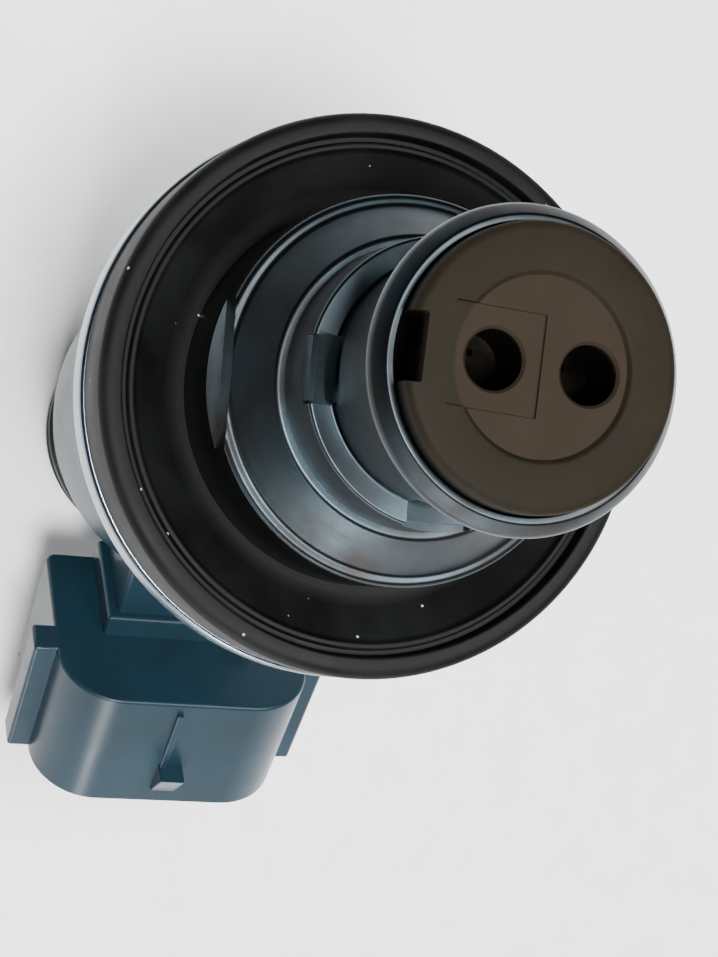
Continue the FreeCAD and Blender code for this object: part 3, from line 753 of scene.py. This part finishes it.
def level_edges(bm, level):
    """Edges that run along z at one y level."""
    tolerance = 0.001 * MM
    chosen = []
    for edge in bm.edges:
        a, b = (vert.co for vert in edge.verts)
        straight = abs(a.x - b.x) < tolerance and abs(a.y - b.y) < tolerance
        if straight and abs(a.y - level) < tolerance:
            chosen.append(edge)
    return chosen


def rim_edges(bm, level):
    """Edges of the outline at one z level."""
    tolerance = 0.001 * MM
    return [edge for edge in bm.edges
            if all(abs(vert.co.z - level) < tolerance for vert in edge.verts)]


def shell_piece(s, place):
    bm = box_mesh((-s.half_w, -s.half_h, -s.shell_length), (s.half_w, s.half_h, 0.0))
    bevel(bm, level_edges(bm, s.half_h), s.nozzle_round, 14)
    bevel(bm, level_edges(bm, -s.half_h), s.inlet_round, 8)
    mouth = max(bm.faces, key=lambda face: face.calc_center_median().z)
    bmesh.ops.inset_region(bm, faces=[mouth], thickness=s.wall, use_even_offset=True)
    extruded = bmesh.ops.extrude_discrete_faces(bm, faces=[mouth])
    floor = extruded["faces"][0]
    bmesh.ops.translate(bm, vec=(0, 0, -s.socket_depth), verts=floor.verts)
    bevel(bm, rim_edges(bm, -s.shell_length), s.edge_round, 3)
    bevel(bm, rim_edges(bm, 0.0), s.edge_round, 3)
    bmesh.ops.recalc_face_normals(bm, faces=bm.faces)
    bmesh.ops.transform(bm, matrix=place, verts=bm.verts)
    return piece_from(bm, "connector_shell")


def connector_details(s, place):
    """Wings, lock lug, guide rib and stem, in the connector's own frame."""
    parts = []
    for side in (-1, 1):
        parts.append(box_piece("wing", (side * (s.half_w - s.wall / 2), s.wing_low, -s.shell_length),
                               (side * (s.half_w + s.wing_out), s.wing_high, 0.0),
                               s.edge_round, place))
    lug = box_mesh((-s.lug_w / 2, s.half_h - s.wall / 2, -s.lug_back),
                   (s.lug_w / 2, s.half_h + s.lug_h, -s.lug_front))
    for vert in lug.verts:
        if vert.co.y > s.half_h and vert.co.z > -(s.lug_back + s.lug_front) / 2:
            vert.co.y = s.half_h + s.lug_low
    bevel(lug, list(lug.edges), 0.1 * MM, 3)
    bmesh.ops.transform(lug, matrix=place, verts=lug.verts)
    parts.append(piece_from(lug, "lug"))
    parts.append(box_piece("rib", (s.rib_at - s.rib_w / 2, s.half_h - s.wall / 2,
                                   -s.shell_length + 0.8 * MM),
                           (s.rib_at + s.rib_w / 2, s.half_h + s.rib_h, -s.lug_back + 0.3 * MM),
                           0.08 * MM, place))
    back = -s.shell_length - 12.0 * MM
    parts.append(box_piece("stem", (-s.stem_half_w, -s.half_h, back),
                           (s.stem_half_w, s.stem_top, -s.shell_length + 0.5 * MM), 0.35 * MM, place))
    parts.append(box_piece("root", (-s.stem_half_w - 0.6 * MM, -s.half_h, -s.shell_length - s.stem_step),
                           (s.stem_half_w + 0.6 * MM, s.stem_top + 0.5 * MM,
                            -s.shell_length + 0.5 * MM), 0.25 * MM, place))
    return parts


def jacket_piece(s, grommet_top, can_base, top):
    step = can_base - 0.5 * MM
    outline = [(0.0, grommet_top), (s.neck_r, grommet_top), (s.neck_r, step - s.step_length + 0.6 * MM),
               (s.jacket_r, step + 0.6 * MM), (s.jacket_r, top), (0.0, top)]
    rounds = [(s.neck_r, grommet_top, 0.3 * MM), (s.jacket_r, step + 0.6 * MM, 0.3 * MM),
              (s.neck_r, step - s.step_length + 0.6 * MM, 0.6 * MM), (s.jacket_r, top, 0.3 * MM)]
    return turned("overmold_jacket", outline, rounds, closed=False)


def build_connector():
    scene = bpy.context.scene
    s, j = scene.injector_shell, scene.injector_jacket
    place = connector_place()
    grommet_top = high("inlet_grommet").z + 0.05 * MM
    can_base, top = low("housing").z, high("overmold").z
    jacket = jacket_piece(j, grommet_top, can_base, top)
    combine(jacket, [shell_piece(s, place)] + connector_details(s, place), "UNION")
    room = turned("cutter", [(0.0, 0.0), (j.spigot_r, 0.0), (j.spigot_r, j.core_step),
                             (j.core_r, j.core_step), (j.core_r, can_base), (j.skirt_r, can_base),
                             (j.skirt_r, top + MM), (0.0, top + MM)], closed=False)
    combine(jacket, [room], "DIFFERENCE")
    finish(jacket, connector_nylon(), ["overmold"], 30.0)


# ------------------------------------------------------------------ pieces whose shape stays
def inner_finishes():
    """Materials of the pieces that keep their own shape, by node."""
    steel, plate, wire = ground_stainless(), zinc_plate(), enamelled_wire()
    rubber = moulded_rubber("coil_seal_rubber", dust=False)
    return {
        "fixed_core": plate, "yoke_plate": plate,
        "barrier_ring": steel, "armature": steel, "needle": steel, "needle_ball": steel,
        "stroke_stop": steel, "adjusting_tube": steel,
        # The orifice plate is painted nearly black: painted shade at the bottom of the spray holes.
        "valve_body": valve_stainless(), "orifice_plate": sooted_steel(),
        "return_spring": spring_wire(), "coil_winding": wire, "coil_leads": wire,
        "coil_bobbin": plain_nylon("bobbin_nylon", "#2a2a2a", "#1c1c1c"),
        "coil_seal_inlet": rubber, "coil_seal_nozzle": rubber,
        "filter_collar": turned_brass(), "filter_mesh": woven_mesh(),
        "filter_frame": plain_nylon("filter_nylon", "#c9c4b8", "#b0aa9c"),
        "terminal_left": tin_plate(), "terminal_right": tin_plate(),
    }


def dress_inner_parts():
    for node, material in inner_finishes().items():
        piece = frame["nodes"][node]
        piece.data.materials.clear()
        piece.data.materials.append(material)


# ------------------------------------------------------------------ stage
def pale_floor():
    """Matt card: pale, with a barely visible tooth."""
    tint = bpy.context.scene.injector_colours
    material, tree, surface, place = start("pale_card", Roughness=0.8)
    tooth = noise(tree, place, 3.0)
    dim = tuple(c * 0.96 for c in tint.floor)
    shade = blend_colours(tree, ramp(tree, tooth, 0.3, 0.7), tint.floor, dim)
    tree.links.new(shade, surface.inputs["Base Color"])
    return material


def softbox(name, location, target, width, height, watts):
    light = bpy.data.lights.new(name, "AREA")
    light.shape = "RECTANGLE"
    light.size, light.size_y = width, height
    light.energy = watts
    lamp = bpy.data.objects.new(name, light)
    bpy.context.scene.collection.objects.link(lamp)
    lamp.location = location
    lamp.rotation_euler = (Vector(target) - Vector(location)).to_track_quat("-Z", "Y").to_euler()


def sky():
    """Pale low down and dim above it, with a soft bright patch overhead for flat turned faces."""
    world = bpy.data.worlds.new("studio")
    bpy.context.scene.world = world
    world.use_nodes = True
    tree = world.node_tree
    tree.nodes.clear()
    place = add(tree, "ShaderNodeTexCoord").outputs["Generated"]
    window = add(tree, "ShaderNodeVectorMath", {"operation": "DOT_PRODUCT", 1: (0.02, 0.33, 0.94)},
                 {0: place}).outputs["Value"]
    shade = blend_colours(tree, ramp(tree, window, 0.72, 0.98), (0.08, 0.086, 0.094), (0.6, 0.63, 0.67))
    height = add(tree, "ShaderNodeSeparateXYZ", links={0: place}).outputs["Z"]
    shade = blend_colours(tree, ramp(tree, height, 0.05, 0.14), (0.4, 0.41, 0.42), shade)
    back = add(tree, "ShaderNodeBackground", {"Strength": 1.0}, {"Color": shade})
    add(tree, "ShaderNodeOutputWorld", links={"Surface": back.outputs[0]})


def build_stage():
    bm = bmesh.new()
    bmesh.ops.create_grid(bm, x_segments=8, y_segments=8, size=1.5)
    floor = piece_from(bm, "pale_floor")
    floor.data.materials.append(pale_floor())
    sky()
    middle = (0.0, 0.0, 0.045)
    softbox("overhead_softbox", (0.01, 0.16, 0.50), middle, 0.30, 0.30, 4.0)
    softbox("kicker_softbox", (0.12, -0.07, 0.52), middle, 0.10, 0.10, 6.0)
    softbox("front_strip", (0.42, -0.07, 0.10), middle, 0.03, 0.20, 2.2)
    lens = bpy.data.cameras.new("camera")
    lens.sensor_width = 36.0
    lens.lens = 82.8
    lens.clip_start = 0.005
    camera = bpy.data.objects.new("camera", lens)
    bpy.context.scene.collection.objects.link(camera)
    camera.location = (0.00919, -0.0349, 0.14532)
    camera.rotation_euler = [math.radians(a) for a in (1.336, -19.391, 94.557)]
    bpy.context.scene.camera = camera


# ------------------------------------------------------------------ operators
class InjectorOperator:
    """Shared shape of the build steps."""
    bl_options = {"REGISTER", "UNDO"}
    build = None

    def execute(self, context):
        type(self).build()
        return {"FINISHED"}


class INJECTOR_OT_cap(InjectorOperator, bpy.types.Operator):
    """Builds the two-hole spray cap"""
    bl_idname = "injector.cap"
    bl_label = "Spray cap"
    build = staticmethod(build_cap)


class INJECTOR_OT_tip(InjectorOperator, bpy.types.Operator):
    """Builds the steel tip with its neck, groove, rim and pockets"""
    bl_idname = "injector.tip"
    bl_label = "Steel tip"
    build = staticmethod(build_tip)


class INJECTOR_OT_collar(InjectorOperator, bpy.types.Operator):
    """Builds the steel collar with its flats and cone"""
    bl_idname = "injector.collar"
    bl_label = "Steel collar"
    build = staticmethod(build_collar)


class INJECTOR_OT_ring(InjectorOperator, bpy.types.Operator):
    """Builds the rubber insulator ring"""
    bl_idname = "injector.ring"
    bl_label = "Insulator ring"
    build = staticmethod(build_ring)


class INJECTOR_OT_backing(InjectorOperator, bpy.types.Operator):
    """Builds the bright ring behind the rubber"""
    bl_idname = "injector.backing"
    bl_label = "Backing ring"
    build = staticmethod(build_backing)


class INJECTOR_OT_housing(InjectorOperator, bpy.types.Operator):
    """Builds the plated can"""
    bl_idname = "injector.housing"
    bl_label = "Can"
    build = staticmethod(build_housing)


class INJECTOR_OT_seals(InjectorOperator, bpy.types.Operator):
    """Builds the inlet grommet and O-ring"""
    bl_idname = "injector.seals"
    bl_label = "Inlet seals"
    build = staticmethod(build_seals)


class INJECTOR_OT_connector(InjectorOperator, bpy.types.Operator):
    """Builds the plastic jacket with its connector"""
    bl_idname = "injector.connector"
    bl_label = "Jacket and connector"
    build = staticmethod(build_connector)


class INJECTOR_OT_inner(InjectorOperator, bpy.types.Operator):
    """Gives the inner pieces their materials"""
    bl_idname = "injector.inner"
    bl_label = "Inner pieces"
    build = staticmethod(dress_inner_parts)


class INJECTOR_OT_stage(InjectorOperator, bpy.types.Operator):
    """Builds the floor, lights and camera"""
    bl_idname = "injector.stage"
    bl_label = "Stage"
    build = staticmethod(build_stage)


STEPS_IN_ORDER = (
    INJECTOR_OT_cap, INJECTOR_OT_tip, INJECTOR_OT_collar, INJECTOR_OT_ring, INJECTOR_OT_backing,
    INJECTOR_OT_housing, INJECTOR_OT_seals, INJECTOR_OT_connector, INJECTOR_OT_inner,
    INJECTOR_OT_stage)


class INJECTOR_PT_builder(bpy.types.Panel):
    """Lists the build steps and their sizes"""
    bl_label = "Fuel injector"
    bl_idname = "INJECTOR_PT_builder"
    bl_space_type = "VIEW_3D"
    bl_region_type = "UI"
    bl_category = "Injector"

    def draw(self, context):
        for step in STEPS_IN_ORDER:
            self.layout.operator(step.bl_idname)
        for name in SETTINGS:
            group = getattr(context.scene, name)
            box = self.layout.box()
            for key in group.__annotations__:
                box.prop(group, key)


def register():
    for name, group in SETTINGS.items():
        bpy.utils.register_class(group)
        setattr(bpy.types.Scene, name, bpy.props.PointerProperty(type=group))
    for step in STEPS_IN_ORDER + (INJECTOR_PT_builder,):
        bpy.utils.register_class(step)


def unregister():
    for step in (INJECTOR_PT_builder,) + STEPS_IN_ORDER[::-1]:
        bpy.utils.unregister_class(step)
    for name, group in SETTINGS.items():
        delattr(bpy.types.Scene, name)
        bpy.utils.unregister_class(group)


def main():
    register()
    for step in STEPS_IN_ORDER:
        group, name = step.bl_idname.split(".")
        getattr(getattr(bpy.ops, group), name)()


if __name__ == "__main__":
    main()
